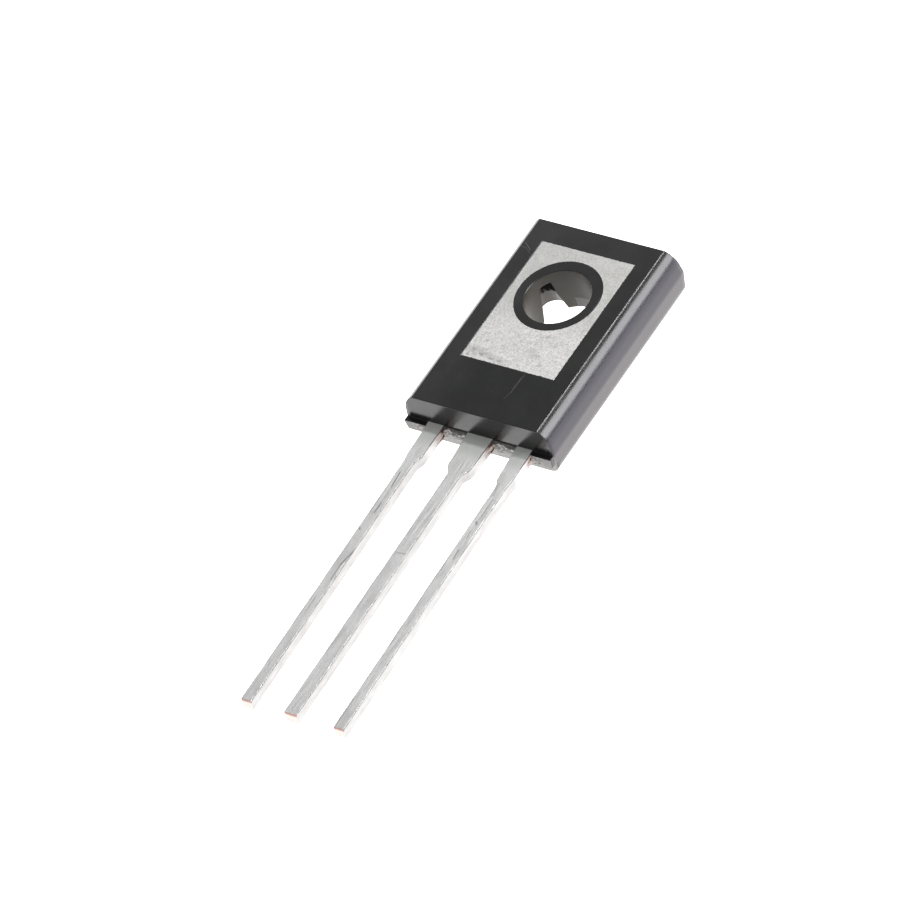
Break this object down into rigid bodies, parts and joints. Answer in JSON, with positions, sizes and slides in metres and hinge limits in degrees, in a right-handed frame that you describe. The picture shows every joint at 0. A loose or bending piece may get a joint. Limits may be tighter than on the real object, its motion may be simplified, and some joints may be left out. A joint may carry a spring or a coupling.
{
  "type": "power transistor",
  "caption": "Flat black moulded power transistor with a bolt hole, an exposed tinned thermal pad on its back and straight leads at one end.",
  "frame": {"origin": "on the bolt hole's axis, at the front face that the part lies on", "axes": "+X across the leads, +Y away from the leads along the body, +Z out of the thermal pad; the leads point along -Y"},
  "size_m": [0.0074, 0.0266, 0.0025],
  "materials": {
    "epoxy": "smooth black moulded epoxy, semi-gloss, with fine hair scratches",
    "tinned_frame": "dull tin plating over copper, streaked along the leads, with bare copper on the cut faces",
    "silicon": "polished silicon",
    "solder": "dull solder",
    "bond_wire": "drawn aluminium wire"
  },
  "bodies": {
    "root": {"moulded_body": "epoxy", "collector_frame": "tinned_frame", "base_lead": "tinned_frame", "emitter_lead": "tinned_frame", "silicon_die": "silicon", "die_attach_solder": "solder", "base_bond_wire": "bond_wire", "emitter_bond_wire": "bond_wire"}
  },
  "joints": []
}
